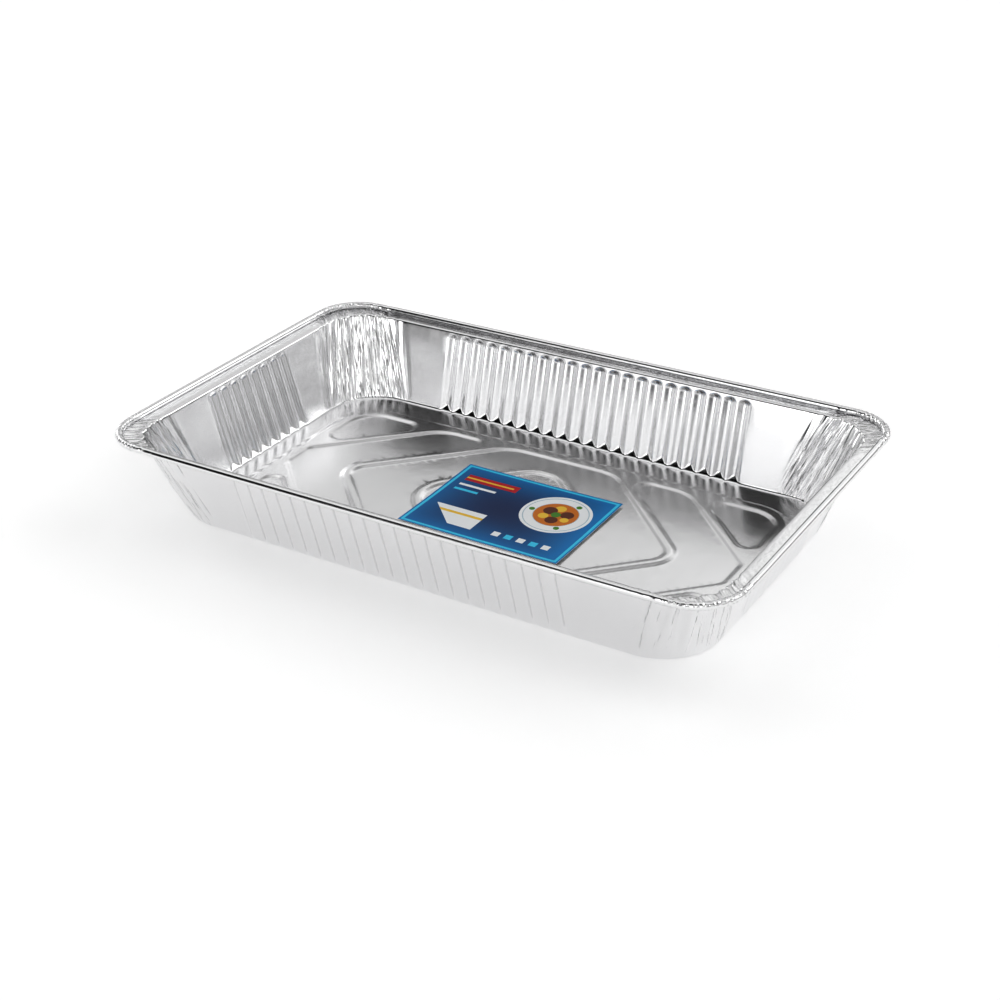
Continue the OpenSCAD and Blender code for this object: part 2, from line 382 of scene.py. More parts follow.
def floor_height(points):
    """The floor's height above its low parts, and how far each point lies from a slope's start."""
    climb = -outside(points, FRAME_OUTLINE)
    for field in FIELDS:
        climb = np.minimum(climb, outside(points, field))
    ring = np.minimum(-outside(points, DIAMOND_OUT), outside(points, DIAMOND_IN))
    climb = np.maximum(climb, ring)
    return RIB_H * eased(climb / RIB_SLOPE), climb


# %% [markdown]
# The floor's own net is laid finely on the ribs and coarsely on the flat fields, in staggered
# rows. A Delaunay net then joins all the points, and its edge is the foot of the wall.

# %% The floor's net
FINE_HALF = (214 * mm, 113 * mm)
# How far the fine points run on below a slope and above it
FINE_BELOW, FINE_ABOVE = 0.8 * mm, 1.9 * mm
COARSE_HALF = (226 * mm, 130 * mm)
COARSE_STEP = 7 * mm
# How far the coarse points keep from the slopes and from the floor's edge
COARSE_CLEAR = 4 * mm
# The rows of a net of even-sided triangles lie this share of a side apart
ROW_SHARE = 0.866


def staggered(step, half_x, half_y):
    xs = np.arange(-half_x, half_x + step, step)
    ys = np.arange(-half_y, half_y + step, step * ROW_SHARE)
    grid = [(x + (step / 2 if j % 2 else 0), y) for j, y in enumerate(ys) for x in xs]
    return np.array(grid)


def floor_net(edge_outline, step):
    """Points and triangles that fill the floor inside the stations of its edge."""
    edge, _ = station_points(edge_outline)
    fine = staggered(step, *FINE_HALF)
    climb = floor_height(fine)[1]
    fine = fine[(climb > -FINE_BELOW) & (climb < RIB_SLOPE + FINE_ABOVE)]
    coarse = staggered(COARSE_STEP, *COARSE_HALF)
    gap = floor_height(coarse)[1]
    well_in = outside(coarse, rounded_box(edge_outline)) < -COARSE_CLEAR
    coarse = coarse[(gap < -COARSE_CLEAR) & well_in]
    points = np.concatenate([edge, fine, coarse])
    n = len(edge)
    loop = [(i, (i + 1) % n) for i in range(n)]
    # The 1 keeps only the triangles inside the loop
    out = delaunay_2d_cdt([Vector(p) for p in points], loop, [], 1, 1e-9)
    verts = np.array([tuple(v) for v in out[0]])
    faces = [tuple(f) for f in out[2]]
    origin = [o[0] if o else -1 for o in out[3]]
    return verts, faces, origin, n


inner_floor = floor_net(inner_rows[0][0], 1.9 * mm)
outer_floor = floor_net(outer_rows[0][0], 2.6 * mm)
print(len(inner_floor[0]), "points and", len(inner_floor[1]), "triangles on the floor")

# %% [markdown]
# ## The blank
# Both skins of the foil are made the same way: a floor, and rows of the wall above it. Beside
# its place, each point keeps what the press needs to know later: the way out of the pan, how
# far along its side it lies, how far the flutes reach on that side, and its share of a corner.

# %% Build a skin
def keep_facts(mesh, facts):
    """What the press needs to know of each point, as attributes of the mesh."""
    layer = mesh.attributes.new("way_out", "FLOAT_VECTOR", "POINT")
    vectors = np.column_stack([facts[:, 0:2], np.zeros(len(facts))]).astype(np.float32)
    layer.data.foreach_set("vector", vectors.ravel())
    for column, label in enumerate(("along", "reach", "fold", "gather", "rim"), start=2):
        layer = mesh.attributes.new(label, "FLOAT", "POINT")
        layer.data.foreach_set("value", facts[:, column].astype(np.float32))


def build_skin(name, rows, floor, floor_z, facing):
    """One skin of the foil. Facing is 1 where it looks into the pan, and -1 where it looks out."""
    floor_points, floor_faces, origin, n = floor
    count = len(floor_points)
    level, _ = floor_height(floor_points)
    coords = [np.column_stack([floor_points, level + floor_z])]
    facts = [np.zeros((count, 7))]
    # The floor's edge is the first row of the wall
    edge_index = np.full(n, -1)
    for i, o in enumerate(origin):
        if 0 <= o < n:
            edge_index[o] = i
    for outline, z, rim in rows[1:]:
        plan, along = station_points(outline)
        coords.append(np.column_stack([plan, np.full(n, z)]))
        facts.append(np.column_stack([normal, along, stations[:, 4], fold_place, fold_weight,
                                      np.full(n, rim)]))
    coords = np.concatenate(coords)
    facts = np.concatenate(facts)
    faces = [f if facing > 0 else f[::-1] for f in floor_faces]
    index = np.concatenate([edge_index[None],
                            count + np.arange((len(rows) - 1) * n).reshape(-1, n)])
    for k in range(len(rows) - 1):
        for i in range(n):
            j = (i + 1) % n
            quad = (int(index[k, i]), int(index[k, j]), int(index[k + 1, j]), int(index[k + 1, i]))
            faces.append(quad if facing < 0 else quad[::-1])
    mesh = bpy.data.meshes.new(name)
    mesh.from_pydata(coords.tolist(), [], faces)
    keep_facts(mesh, facts)
    obj = bpy.data.objects.new(name, mesh)
    bpy.context.scene.collection.objects.link(obj)
    print(name, len(coords), "points,", len(mesh.polygons), "faces")
    return obj


inside = build_skin("pan_inside", inner_rows, inner_floor, FOIL, 1)
outside_skin = build_skin("pan_outside", outer_rows, outer_floor, 0, -1)

# %% [markdown]
# ## A press made of nodes
# What repeats is pressed by Geometry Nodes: the tree says what one flute is, and the net of
# points carries it round the pan. A short helper writes the arithmetic of a tree, so that a
# formula in it reads like one line.

# %% Helpers for node trees
class Sums:
    """Shorthand for the arithmetic of any node tree."""

    def __init__(self, tree):
        self.tree = tree

    def add(self, kind, **settings):
        node = self.tree.nodes.new(kind)
        for key, value in settings.items():
            setattr(node, key, value)
        return node

    def link(self, value, socket):
        if hasattr(value, "is_output"):
            self.tree.links.new(value, socket)
        else:
            socket.default_value = value

    def math(self, operation, a, b=None, c=None):
        node = self.add("ShaderNodeMath", operation=operation)
        for value, socket in zip((a, b, c), node.inputs):
            if value is not None:
                self.link(value, socket)
        return node.outputs[0]

    def eased(self, value, low, high):
        """A climb from 0 to 1 between two values, with a soft start and end."""
        node = self.add("ShaderNodeMapRange", interpolation_type="SMOOTHSTEP")
        self.link(value, node.inputs["Value"])
        self.link(low, node.inputs["From Min"])
        self.link(high, node.inputs["From Max"])
        return node.outputs["Result"]


class Tree(Sums):
    """A geometry tree with named inputs."""

    def __init__(self, name, sizes):
        super().__init__(bpy.data.node_groups.new(name, "GeometryNodeTree"))
        face = self.tree.interface
        face.new_socket("Geometry", in_out="INPUT", socket_type="NodeSocketGeometry")
        for label, value in sizes.items():
            socket = face.new_socket(label, in_out="INPUT", socket_type="NodeSocketFloat")
            socket.default_value = value
        face.new_socket("Geometry", in_out="OUTPUT", socket_type="NodeSocketGeometry")
        self.inputs = self.add("NodeGroupInput")
        self.result = self.add("NodeGroupOutput")
        self.mesh = self.inputs.outputs["Geometry"]

    def size(self, label):
        return self.inputs.outputs[label]

    def vector(self, x, y, z):
        node = self.add("ShaderNodeCombineXYZ")
        for value, socket in zip((x, y, z), node.inputs):
            self.link(value, socket)
        return node.outputs[0]

    def scaled(self, vector, factor):
        node = self.add("ShaderNodeVectorMath", operation="SCALE")
        self.link(vector, node.inputs[0])
        self.link(factor, node.inputs["Scale"])
        return node.outputs[0]

    def length(self, a, b):
        """The long side of a right triangle, from its two short ones."""
        return self.math("SQRT", self.math("MULTIPLY_ADD", a, a, self.math("MULTIPLY", b, b)))

    def fact(self, label, kind="FLOAT"):
        node = self.add("GeometryNodeInputNamedAttribute", data_type=kind)
        node.inputs["Name"].default_value = label
        return node.outputs["Attribute"]

    def height(self):
        node = self.add("ShaderNodeSeparateXYZ")
        self.link(self.add("GeometryNodeInputPosition").outputs[0], node.inputs[0])
        return node.outputs["Z"]

    def move(self, offset):
        node = self.add("GeometryNodeSetPosition")
        self.link(self.mesh, node.inputs["Geometry"])
        self.link(offset, node.inputs["Offset"])
        self.mesh = node.outputs["Geometry"]

    def close(self, material):
        """Ends the tree in real geometry with its material."""
        real = self.add("GeometryNodeRealizeInstances")
        paint = self.add("GeometryNodeSetMaterial")
        paint.inputs["Material"].default_value = material
        self.link(self.mesh, real.inputs["Geometry"])
        self.link(real.outputs["Geometry"], paint.inputs["Geometry"])
        self.link(paint.outputs["Geometry"], self.result.inputs["Geometry"])
        return self.tree


def pressed(obj, tree, sizes, material):
    """The object's mesh after a tree has run on it, as plain geometry."""
    modifier = obj.modifiers.new(tree.name, "NODES")
    modifier.node_group = tree
    for item in tree.interface.items_tree:
        if item.in_out == "INPUT" and item.name in sizes:
            modifier[item.identifier] = sizes[item.name]
    seen = obj.evaluated_get(bpy.context.evaluated_depsgraph_get())
    mesh = bpy.data.meshes.new_from_object(seen)
    obj.modifiers.remove(modifier)
    obj.data = mesh
    mesh.materials[0] = material
    return obj


# %% [markdown]
# ## Foil
# Rolled aluminium is a blurred mirror. Its grain is a very fine streak along the roll, and
# handling leaves a shallow swell in it. The gathered foil has fine creases as well, and the
# flange is blotched. All four are bumps, too small for the mesh. The effect is one node group,
# with its scales as named inputs. Where the foil lies level it is duller inside the pan, and
# the outside is duller still.

# %% The foil's shader
SURFACE = {"Swell Scale": 38.0, "Swell Height": 0.35 * mm, "Streak Scale": 900.0,
           "Streak Height": 0.006 * mm, "Crease Width": 2.0 * mm, "Crease Length": 24 * mm,
           "Crease Height": 0.5 * mm, "Mottle Scale": 300.0, "Mottle Height": 1.2 * mm}
# The streaks are so much longer than wide
STREAK_STRETCH = (0.03, 1, 1)
FOIL_COLOUR = (0.855, 0.855, 0.86, 1)
FLOOR_ROUGHNESS = 0.27
# The upward share of the normal from which foil starts to be level, and from which it is
LEVEL = (0.6, 0.95)


def group_of(name, sizes, output):
    tree = bpy.data.node_groups.new(name, "ShaderNodeTree")
    for label, value in sizes.items():
        socket = tree.interface.new_socket(label, in_out="INPUT", socket_type="NodeSocketFloat")
        socket.default_value = value
    tree.interface.new_socket(output, in_out="OUTPUT", socket_type="NodeSocketVector")
    return tree, tree.nodes.new("NodeGroupInput"), tree.nodes.new("NodeGroupOutput")


def noise(t, place, scale, detail, roughness=0.5):
    node = t.add("ShaderNodeTexNoise")
    t.link(place, node.inputs["Vector"])
    t.link(scale, node.inputs["Scale"])
    t.link(detail, node.inputs["Detail"])
    t.link(roughness, node.inputs["Roughness"])
    return node.outputs["Fac"]


def point_fact(t, label):
    return t.add("ShaderNodeAttribute", attribute_name=label).outputs["Fac"]


def creases(t, place, size):
    """Fine upright creases, only where the foil is gathered."""
    split = t.add("ShaderNodeSeparateXYZ")
    t.link(place, split.inputs[0])
    net = t.add("ShaderNodeCombineXYZ")
    t.link(t.math("DIVIDE", point_fact(t, "fold"), size["Crease Width"]), net.inputs["X"])
    t.link(t.math("DIVIDE", split.outputs["Z"], size["Crease Length"]), net.inputs["Y"])
    cells = t.add("ShaderNodeTexVoronoi", voronoi_dimensions="2D")
    cells.inputs["Scale"].default_value = 1
    t.link(net.outputs[0], cells.inputs["Vector"])
    # They thin out towards the sides
    thin = t.math("POWER", point_fact(t, "gather"), 2.0)
    return t.math("MULTIPLY", cells.outputs["Distance"], thin)


def flange_mottle(t, place, size):
    """Uneven blotches, strongest half-way across the flange and none on the wall or the rim."""
    rim = point_fact(t, "rim")
    share = t.math("MULTIPLY", rim, t.math("SUBTRACT", 1.0, rim))
    return t.math("MULTIPLY", noise(t, place, size["Mottle Scale"], 1), share)


def foil_surface():
    tree, given, result = group_of("foil surface", SURFACE, "Normal")
    t, size = Sums(tree), given.outputs
    place = t.add("ShaderNodeTexCoord").outputs["Object"]
    stretched = t.add("ShaderNodeMapping")
    stretched.inputs["Scale"].default_value = STREAK_STRETCH
    t.link(place, stretched.inputs["Vector"])
    swell = noise(t, place, size["Swell Scale"], 3, 0.45)
    streak = noise(t, stretched.outputs["Vector"], size["Streak Scale"], 2)
    # Each bump stands on the one before it
    bump = None
    for height, distance in ((swell, "Swell Height"), (streak, "Streak Height"),
                             (creases(t, place, size), "Crease Height"),
                             (flange_mottle(t, place, size), "Mottle Height")):
        below, bump = bump, t.add("ShaderNodeBump")
        t.link(height, bump.inputs["Height"])
        t.link(size[distance], bump.inputs["Distance"])
        if below:
            t.link(below.outputs["Normal"], bump.inputs["Normal"])
    t.link(bump.outputs["Normal"], result.inputs["Normal"])
    return tree


def new_material(name, settings):
    """A material, its shorthand and its shader, with the shader's inputs set."""
    material = bpy.data.materials.new(name)
    material.use_nodes = True
    t = Sums(material.node_tree)
    shader = t.tree.nodes["Principled BSDF"]
    for label, value in settings.items():
        shader.inputs[label].default_value = value
    return material, t, shader


def foil_material(name, roughness, crease_height):
    material, t, shader = new_material(name, {"Base Color": FOIL_COLOUR, "Metallic": 1})
    split = t.add("ShaderNodeSeparateXYZ")
    t.link(t.add("ShaderNodeNewGeometry").outputs["Normal"], split.inputs["Vector"])
    level = t.eased(split.outputs["Z"], *LEVEL)
    dull = t.math("MULTIPLY_ADD", level, FLOOR_ROUGHNESS - roughness, roughness)
    t.link(dull, shader.inputs["Roughness"])
    surface = t.add("ShaderNodeGroup", node_tree=FOIL_SURFACE)
    surface.inputs["Crease Height"].default_value = crease_height
    t.link(surface.outputs["Normal"], shader.inputs["Normal"])
    return material


FOIL_SURFACE = foil_surface()
foil = foil_material("foil inside", 0.16, 0.5 * mm)
outer_foil = foil_material("foil outside", 0.36, 0.05 * mm)
print("foil made, with", len(FOIL_SURFACE.nodes), "nodes in its surface")

# %% [markdown]
# ## The flutes
# A flute is a groove pressed outwards, with two flat sides and a rounded bottom. Only a narrow
# crest is left between it and the next, and "Crest" says how round that is. At its foot the
# groove closes in a flat facet, which cuts the sides in a small triangle. At its head it closes
# in a rounded arch.

# %% Press the flutes
FLUTES = {"Pitch": FLUTE_PITCH, "Gap": 0.2 * mm, "Depth": 2.2 * mm, "Round": 0.22,
          "Crest": 0.8, "Foot": 4.6 * mm, "Head": 4.5 * mm, "Floor": 0.3 * mm,
          "Top": 66.4 * mm, "Blend": 0.04}


def flute_press():
    t = Tree("flute press", FLUTES)
    along = t.math("ABSOLUTE", t.fact("along"))
    # Both sides have an even number of flutes, so a crest lies at the middle of each
    half_pitch = t.math("MULTIPLY", t.size("Pitch"), 0.5)
    across = t.math("SUBTRACT", t.math("PINGPONG", along, half_pitch), half_pitch)
    half = t.math("MULTIPLY", t.math("SUBTRACT", t.size("Pitch"), t.size("Gap")), 0.5)
    share = t.math("DIVIDE", t.math("ABSOLUTE", across), half)
    z = t.height()
    below_top = t.math("DIVIDE", t.math("SUBTRACT", t.size("Top"), z), t.size("Head"))
    arch = t.math("MAXIMUM", t.math("SUBTRACT", 1.0, below_top), 0.0)
    share = t.math("MINIMUM", t.length(share, arch), 1.0)
    deepest = t.math("SUBTRACT", t.length(1.0, t.size("Round")), t.size("Round"))
    groove = t.math("DIVIDE", t.math("SUBTRACT", t.length(1.0, t.size("Round")),
                                     t.length(share, t.size("Round"))), deepest)
    wave = t.math("MULTIPLY_ADD", t.math("COSINE", t.math("MULTIPLY", share, math.pi)), 0.5, 0.5)
    groove = t.math("MULTIPLY_ADD", t.math("SUBTRACT", wave, groove), t.size("Crest"), groove)
    foot = t.math("DIVIDE", t.math("SUBTRACT", z, t.size("Floor")), t.size("Foot"))
    closed = t.math("SMOOTH_MIN", foot, groove, t.size("Blend"))
    here = t.math("LESS_THAN", along, t.fact("reach"))
    depth = t.math("MULTIPLY", t.math("MAXIMUM", closed, 0.0), t.size("Depth"))
    t.move(t.scaled(t.fact("way_out", "FLOAT_VECTOR"), t.math("MULTIPLY", depth, here)))
    return t.close(foil)


press = flute_press()
pressed(inside, press, FLUTES, foil)
# Seen from behind, a crest is the bottom of a soft hollow
pressed(outside_skin, press, FLUTES | {"Gap": 0.0, "Crest": 1.0}, outer_foil)
print("flutes:", 2 * (SIDE_FLUTES + END_FLUTES))

# %% [markdown]
# ## The gathered corners
# No two folds are alike: some are wide, some split, and all are creased sharply. A Voronoi
# texture gives just that. Its distance to the nearest of its scattered points rises and falls
# in straight slopes, and the seed fixes the scatter. Broad folds run the whole height, and
# short facets break them up. The same broad folds fan out across the flange, with finer
# pleats between them, and the finest pinch the rolled edge.

# %% Gather the corners
FOLDS = {"Fold Width": 8.5 * mm, "Fold Depth": 3.4 * mm, "Fold Level": 0.25, "Fold Lean": 0.06,
         "Fold Start": 0.2 * mm, "Fold Full": 16 * mm, "Facet Width": 3.8 * mm,
         "Facet Length": 38 * mm, "Facet Depth": 2.3 * mm, "Facet Level": 0.35,
         "Fan Rise": 2.2 * mm, "Fan Level": 0.2, "Pleat Width": 2.7 * mm,
         "Pleat Rise": 1.5 * mm, "Crimp Width": 3.2 * mm, "Crimp Depth": 1.5 * mm, "Seed": 3.0,
         "Unevenness": 0.8}
# Shares of the rim between which the wall's folds fade, and the fan grows and fades
WALL_FADES = (0.0, 0.8)
FAN_GROWS, FAN_FADES = (0.1, 0.4), (0.7, 0.98)
ROLLED = 0.99


def scatter(t, place, width, height=None, length=None):
    """A creased wave: the distance to the nearest of points scattered a width apart."""
    flat = height is None
    node = t.add("ShaderNodeTexVoronoi", voronoi_dimensions="1D" if flat else "2D")
    node.inputs["Scale"].default_value = 1
    t.link(t.size("Unevenness"), node.inputs["Randomness"])
    u = t.math("ADD", t.math("DIVIDE", place, t.size(width)), t.size("Seed"))
    if flat:
        t.link(u, node.inputs["W"])
    else:
        t.link(t.vector(u, t.math("DIVIDE", height, t.size(length)), 0.0), node.inputs["Vector"])
    return node.outputs["Distance"]


def relief(t, wave, level, depth):
    """A wave as a depth in metres, either side of the level that leaves the foil in place."""
    return t.math("MULTIPLY", t.math("SUBTRACT", wave, t.size(level)), t.size(depth))


def fading(t, value, limits):
    return t.math("SUBTRACT", 1.0, t.eased(value, *limits))


def corner_gather():
    t = Tree("corner gather", FOLDS)
    fold, gather, rim, z = t.fact("fold"), t.fact("gather"), t.fact("rim"), t.height()
    # A fold leans a little as it climbs
    leaning = t.math("ADD", fold, t.math("MULTIPLY", z, t.size("Fold Lean")))
    broad = scatter(t, leaning, "Fold Width")
    short = scatter(t, leaning, "Facet Width", z, "Facet Length")
    climb = t.math("MULTIPLY", t.eased(z, t.size("Fold Start"), t.size("Fold Full")), gather)
    wall = t.math("MULTIPLY", climb, fading(t, rim, WALL_FADES))
    depth = t.math("ADD", relief(t, broad, "Fold Level", "Fold Depth"),
                   relief(t, short, "Facet Level", "Facet Depth"))
    out = t.math("MULTIPLY", depth, wall)
    on_rim = t.math("MULTIPLY", t.math("GREATER_THAN", rim, ROLLED), gather)
    crimp = t.math("MULTIPLY", scatter(t, fold, "Crimp Width"), t.size("Crimp Depth"))
    pinch = t.math("MULTIPLY", on_rim, crimp)
    t.move(t.scaled(t.fact("way_out", "FLOAT_VECTOR"), t.math("SUBTRACT", out, pinch)))
    across = t.math("MULTIPLY", t.eased(rim, *FAN_GROWS), fading(t, rim, FAN_FADES))
    fan = relief(t, broad, "Fan Level", "Fan Rise")
    pleats = t.math("MULTIPLY", scatter(t, fold, "Pleat Width"), t.size("Pleat Rise"))
    rise = t.math("MULTIPLY", t.math("MULTIPLY", across, gather), t.math("SUBTRACT", fan, pleats))
    t.move(t.vector(0.0, 0.0, rise))
    return t.close(foil)


gather_tree = corner_gather()
for skin, material in ((inside, foil), (outside_skin, outer_foil)):
    pressed(skin, gather_tree, FOLDS, material)
print("corners gathered")

# %% [markdown]
# ## The floor shines by its ribs
# A mirror shows every facet. The floor's net is fine enough for the shape, but its shading
# comes from the slope of the height itself, worked out a tenth of a millimetre either side of
# each point. The walls' net is even, so the mesh's own normals serve there.

# %% Normals and body
SLOPE_STEP = 0.1 * mm


def slope(points, way):
    """The floor's slope along a way, from its height on either side of each point."""
    step = SLOPE_STEP * np.array(way)
    rise = floor_height(points + step)[0] - floor_height(points - step)[0]
    return rise / (2 * SLOPE_STEP)


def finish_skin(obj, floor_count, side):
    """Smooth normals: the floor's from its height, the rest from the mesh."""
    mesh = obj.data
    mesh.polygons.foreach_set("use_smooth", [True] * len(mesh.polygons))
    flat = np.zeros(len(mesh.vertices) * 3)
    mesh.vertices.foreach_get("co", flat)
    points = flat.reshape(-1, 3)[:floor_count, :2]
    up_normal = np.column_stack([-slope(points, (1, 0)), -slope(points, (0, 1)),
                                 np.ones(floor_count)]) * side
    up_normal /= np.linalg.norm(up_normal, axis=1)[:, None]
    vertex = np.array([v.vector[:] for v in mesh.vertex_normals])
    vertex[:floor_count] = up_normal
    mesh.normals_split_custom_set_from_vertices(vertex.tolist())
    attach(obj, "root")
    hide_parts("foil_pan")


finish_skin(inside, len(inner_floor[0]), 1)
finish_skin(outside_skin, len(outer_floor[0]), -1)
print("pan:", sum(len(p.vertices) - 2 for s in (inside, outside_skin) for p in s.data.polygons),
      "triangles")

# %% [markdown]
# ## The card
# A loose card of glossy paper lies on the middle rib. Paper is never quite flat: its corners
# have lifted a little. It is a fine grid for its top and one for its back, joined round the
# edge, so that it has a thickness and a white cut edge.

# %% The card's mesh
CARD_LOW, CARD_HIGH = (Vector(c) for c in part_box("label_card"))
CARD_MIDDLE = (CARD_LOW + CARD_HIGH) / 2
CARD_SIZE = CARD_HIGH - CARD_LOW
CORNER_LIFT = 0.5 * mm
PAPER_WAVE = 0.12 * mm
print("card in mm:", [round(1000 * v, 2) for v in CARD_SIZE])


def card_mesh(columns=48, rows=36):
    """Two sheets of points, the top one first, their faces and the strip that joins their edges."""
    def sheet_of(z):
        points = []
        for j in range(rows + 1):
            for i in range(columns + 1):
                u, v = i / columns, j / rows
                lift = CORNER_LIFT * (abs(2 * u - 1) * abs(2 * v - 1)) ** 2
                wave = PAPER_WAVE * math.sin(7 * u + 2 * v) * math.sin(5 * v + 1)
                points.append((CARD_LOW.x + u * CARD_SIZE.x, CARD_LOW.y + v * CARD_SIZE.y,
                               z + lift + abs(wave)))
        return points

    points = sheet_of(CARD_HIGH.z) + sheet_of(CARD_LOW.z)
    wide, n = columns + 1, (columns + 1) * (rows + 1)
    faces, slots = [], []
    for j in range(rows):
        for i in range(columns):
            a = j * wide + i
            faces += [(a, a + 1, a + wide + 1, a + wide),
                      (n + a, n + a + wide, n + a + wide + 1, n + a + 1)]
            slots += [0, 1]
    loop = ([i for i in range(columns)] + [j * wide + columns for j in range(rows)]
            + [rows * wide + columns - i for i in range(columns)]
            + [(rows - j) * wide for j in range(rows)])
    for k, a in enumerate(loop):
        b = loop[(k + 1) % len(loop)]
        faces.append((n + a, n + b, b, a))
        slots.append(1)
    mesh = bpy.data.meshes.new("card")
    mesh.from_pydata(points, [], faces)
    mesh.polygons.foreach_set("material_index", slots)
    return mesh


card = bpy.data.objects.new("card", card_mesh())
bpy.context.scene.collection.objects.link(card)

# %% [markdown]
# ## The card's print
# The print is made of flat fields, as a printer lays one ink over another. Each field is a
# mask, worked out from the point's distance to a simple shape, and each mask mixes one more
# ink over those beneath. The design is plain: a blue ground that grows lighter to its edges, a
# pale border, a dish seen from above with a garnish round it, and bands beside it.

# %% Inks
INKS = {
    "deep blue": (0.002, 0.022, 0.1, 1),
    "bright blue": (0.001, 0.2, 0.5, 1),
    "cyan": (0.06, 0.6, 0.85, 1),
    "white": (0.86, 0.88, 0.89, 1),
    "shade": (0.5, 0.6, 0.66, 1),
    "amber": (0.6, 0.19, 0.015, 1),
    "brown": (0.13, 0.03, 0.008, 1),
    "yellow": (0.82, 0.55, 0.06, 1),
    "red": (0.5, 0.008, 0.02, 1),
    "green": (0.08, 0.26, 0.03, 1),
}


class Print(Sums):
    """A material built up ink by ink, in millimetres from the middle of the card."""

    def __init__(self, name):
        self.material = bpy.data.materials.new(name)
        self.material.use_nodes = True
        super().__init__(self.material.node_tree)
        place = self.add("ShaderNodeTexCoord")
        centred = self.add("ShaderNodeMapping")
        centred.inputs["Location"].default_value = -CARD_MIDDLE * 1000
        centred.inputs["Scale"].default_value = (1000, 1000, 1000)
        self.link(place.outputs["Object"], centred.inputs["Vector"])
        split = self.add("ShaderNodeSeparateXYZ")
        self.link(centred.outputs["Vector"], split.inputs[0])
        self.x, self.y = split.outputs[0], split.outputs[1]
        self.colour = None

    def beyond(self, value, middle, half):
        return self.math("SUBTRACT", self.math("ABSOLUTE", self.math("SUBTRACT", value, middle)), half)

    def box(self, x, y, half_x, half_y):
        return self.math("MAXIMUM", self.beyond(self.x, x, half_x), self.beyond(self.y, y, half_y))

    def disc(self, x, y, radius):
        dx, dy = self.math("SUBTRACT", self.x, x), self.math("SUBTRACT", self.y, y)
        square = self.math("ADD", self.math("MULTIPLY", dx, dx), self.math("MULTIPLY", dy, dy))
        return self.math("SUBTRACT", self.math("SQRT", square), radius)

    def below(self, slope, offset):
        """How far down from the slanting line y = slope times x plus offset."""
        line = self.math("MULTIPLY_ADD", self.x, slope, offset)
        return self.math("SUBTRACT", line, self.y)

    def mix(self, factor, ink):
        node = self.add("ShaderNodeMix", data_type="RGBA")
        if self.colour is not None:
            self.link(self.colour, node.inputs[6])
        self.link(factor, node.inputs["Factor"])
        node.inputs[7].default_value = INKS[ink]
        self.colour = node.outputs[2]
        return node

    def lay(self, distance, ink):
        self.mix(self.math("LESS_THAN", distance, 0.0), ink)


def card_print():
    p = Print("card print")
    half_x, half_y = 500 * CARD_SIZE.x, 500 * CARD_SIZE.y
    # The ground grows lighter to the edges, most of all to the right
    across = p.math("ABSOLUTE", p.math("MULTIPLY_ADD", p.x, 1 / half_x, 0.1))
    down = p.math("ABSOLUTE", p.math("MULTIPLY", p.y, 1 / half_y))
    reach = p.math("SMOOTH_MAX", across, down, 0.4)
    ground = p.mix(p.math("POWER", reach, 2.2), "bright blue")
    ground.inputs[6].default_value = INKS["deep blue"]
    # A pale frame, 2.6 mm in from the edge and 2.4 mm wide
    frame_line = p.math("ABSOLUTE", p.math("ADD", p.box(0, 0, half_x, half_y), 2.6))
    p.lay(p.math("SUBTRACT", frame_line, 1.2), "cyan")
    # A dish seen from above, at the right
    x, y = 33, 13
    for radius, ink in ((29, "white"), (26.5, "shade"), (25.6, "white"), (18.6, "shade"),
                        (18, "amber")):
        p.lay(p.disc(x, y, radius), ink)
    # Pieces in the dish, and the garnish round them
    for turn, out, radius, ink in ((20, 9, 5.5, "brown"), (95, 10, 4.6, "yellow"),
                                   (150, 8, 5.8, "brown"), (215, 10, 4.2, "yellow"),
                                   (275, 9, 5.2, "brown"), (335, 11, 3.6, "yellow"),
                                   (60, 21.5, 2.4, "green"), (180, 21.5, 2.4, "green"),
                                   (300, 21.5, 2.4, "green"), (0, 0, 4, "green")):
        a = math.radians(turn)
        p.lay(p.disc(x + out * math.cos(a), y + out * math.sin(a), radius), ink)
    # Bands at the left, each shorter than the one above
    for y, length, half, ink in ((33, 24, 5, "red"), (33, 22, 1.1, "yellow"),
                                 (21, 17, 1.6, "white"), (13, 11, 1.6, "cyan")):
        p.lay(p.box(-61 + length, y, length, half), ink)
    # A slanting white panel at the lower left, with a yellow stripe
    slant = p.below(-1.0, -74.0)
    p.lay(p.math("MAXIMUM", p.box(-36, -27, 23, 13), slant), "white")
    p.lay(p.math("MAXIMUM", p.box(-36, -22, 23, 1.6), slant), "yellow")
    # A row of small squares at the lower right
    for k in range(5):
        p.lay(p.box(8 + 11 * k, -36, 3.2, 3.2), "cyan" if k % 2 else "white")
    shader = p.tree.nodes["Principled BSDF"]
    p.link(p.colour, shader.inputs["Base Color"])
    shader.inputs["Roughness"].default_value = 0.3
    shader.inputs["Specular IOR Level"].default_value = 0.3
    return p.material


CARD_BACK = new_material("card back", {"Base Color": (0.8, 0.8, 0.79, 1), "Roughness": 0.7})[0]
card.data.materials.append(card_print())
card.data.materials.append(CARD_BACK)
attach(card, "root")
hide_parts("label_card")
print("card printed with", len(INKS), "inks")

# %% [markdown]
# ## Floor, light and room
# Foil shows what stands round it, so the room matters more than any lamp. The floor is a pale
# sheet, lit a little from beneath.

# %% Stage
FLOOR_HALF = 12
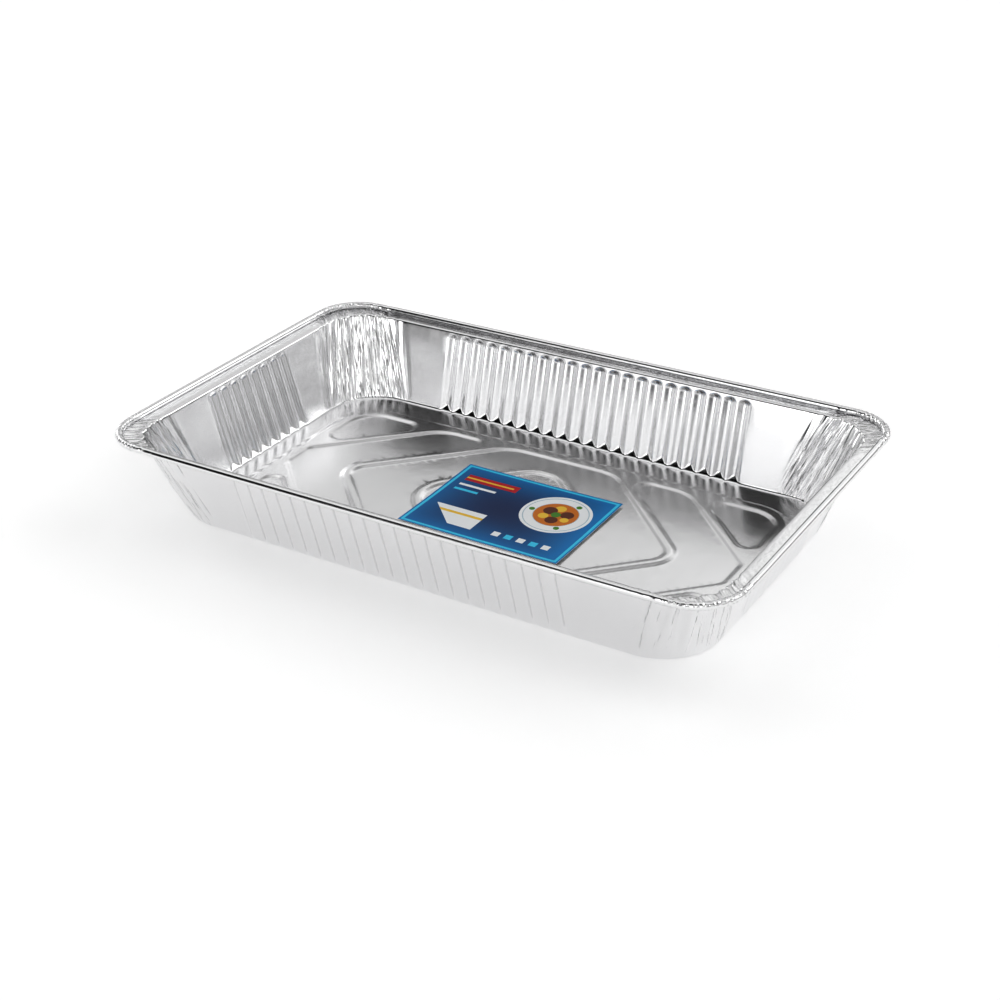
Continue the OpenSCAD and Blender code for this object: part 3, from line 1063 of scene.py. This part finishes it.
# The floor lies a little below the pan, so that the two never share a plane
FLOOR_Z = -0.3 * mm
corners = [(x * FLOOR_HALF, y * FLOOR_HALF, FLOOR_Z) for x, y in ((-1, -1), (1, -1), (1, 1), (-1, 1))]
sheet = bpy.data.meshes.new("floor")
sheet.from_pydata(corners, [], [(0, 1, 2, 3)])
sheet.materials.append(new_material("pale floor", {
    "Base Color": (0.9, 0.9, 0.9, 1), "Roughness": 0.9,
    "Emission Color": (1, 1, 1, 1), "Emission Strength": 0.22})[0])
floor = bpy.data.objects.new("floor", sheet)
bpy.context.scene.collection.objects.link(floor)
print("floor of", 2 * FLOOR_HALF, "metres")

# %% [markdown]
# The room itself is a set of soft round panels on a black ground. The dark gaps between them
# draw the creases. Nothing stands half-way up at the front left, and the flutes' feet mirror
# that gap, so they stay black.

# %% The room
# Azimuth from +Y towards +X, elevation and half-width, all in degrees, and strength
PANELS = [
    # Behind, for the pan's floor and flange and, by way of the near wall, for the far wall
    (330, 28, 26, 0.5), (0, 28, 26, 0.65), (29, 28, 26, 0.6), (55, 28, 26, 1.15),
    # In front, for the plain stretch of the far wall and the sides of its flutes
    (180, 5, 26, 0.85), (195, 4, 20, 1.0), (190, 22, 24, 0.95), (246, 5, 26, 0.6),
    # At the left, for the left wall
    (292, 5, 26, 1.65), (276, 28, 26, 0.7),
    # At the right, for the lower part of the left wall and the outside of the right end
    (110, 28, 26, 0.5), (128, 33, 14, 1.2), (138, 28, 26, 0.4), (90, 5, 26, 0.4),
    # High up, for the strip at the far wall's foot and the tops of the rolled edges
    (135, 58, 24, 0.4), (45, 53, 26, 0.9), (315, 53, 26, 0.35), (275, 57, 23, 0.7), (0, 88, 26, 0.8)]


def make_room():
    world = bpy.data.worlds.new("room")
    world.use_nodes = True
    room = Sums(world.node_tree)
    direction = room.add("ShaderNodeTexCoord").outputs["Generated"]
    light = 0.0
    for azimuth, elevation, spread, strength in PANELS:
        a, e = math.radians(azimuth), math.radians(elevation)
        near = room.add("ShaderNodeVectorMath", operation="DOT_PRODUCT")
        room.link(direction, near.inputs[0])
        near.inputs[1].default_value = (math.sin(a) * math.cos(e), math.cos(a) * math.cos(e),
                                        math.sin(e))
        panel = room.eased(near.outputs["Value"], math.cos(math.radians(spread)), 1.0)
        light = room.math("MULTIPLY_ADD", panel, strength, light)
    ground = world.node_tree.nodes["Background"]
    ground.inputs["Color"].default_value = (1, 1, 1, 1)
    room.link(light, ground.inputs["Strength"])
    return world


bpy.context.scene.world = make_room()
bpy.context.scene.view_settings.view_transform = "Standard"
bpy.context.scene.view_settings.look = "High Contrast"
print("room of", len(PANELS), "panels")
